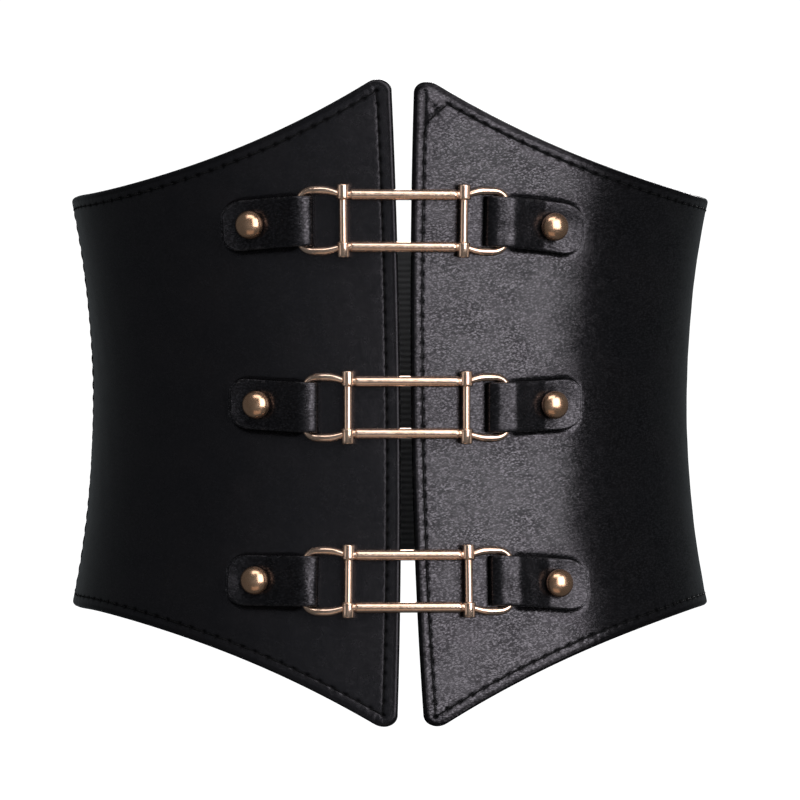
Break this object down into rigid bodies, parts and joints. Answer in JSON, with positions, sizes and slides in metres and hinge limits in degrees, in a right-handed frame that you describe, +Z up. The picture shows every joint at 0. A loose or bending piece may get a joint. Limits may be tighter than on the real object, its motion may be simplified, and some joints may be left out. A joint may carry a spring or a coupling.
{
  "type": "corset belt",
  "caption": "Wide waist belt worn as a loop: pointed leather front panels joined across the front by cast links on studded leather tabs, with an elastic back band.",
  "frame": {"origin": "middle of the waist: the centre of the loop, at its narrowest height", "axes": "+Z up along the wearer, +X to the right of someone facing the belt, -Y out of the front where the links are"},
  "size_m": [0.23, 0.1747, 0.2187],
  "materials": {
    "leather": "black smooth-grain leather, satin, stitched edges",
    "elastic": "black ribbed elastic webbing, matt",
    "gold_metal": "pale rose-gold plate, polished",
    "thread": "black sewing thread"
  },
  "bodies": {
    "root": {"back_band": "elastic", "panel_left": "leather", "panel_right": "leather", "link_top": "gold_metal", "tab_left_top": "leather", "stud_left_top": "gold_metal", "tab_right_top": "leather", "stud_right_top": "gold_metal", "link_middle": "gold_metal", "tab_left_middle": "leather", "stud_left_middle": "gold_metal", "tab_right_middle": "leather", "stud_right_middle": "gold_metal", "link_bottom": "gold_metal", "tab_left_bottom": "leather", "stud_left_bottom": "gold_metal", "tab_right_bottom": "leather", "stud_right_bottom": "gold_metal"}
  },
  "joints": []
}
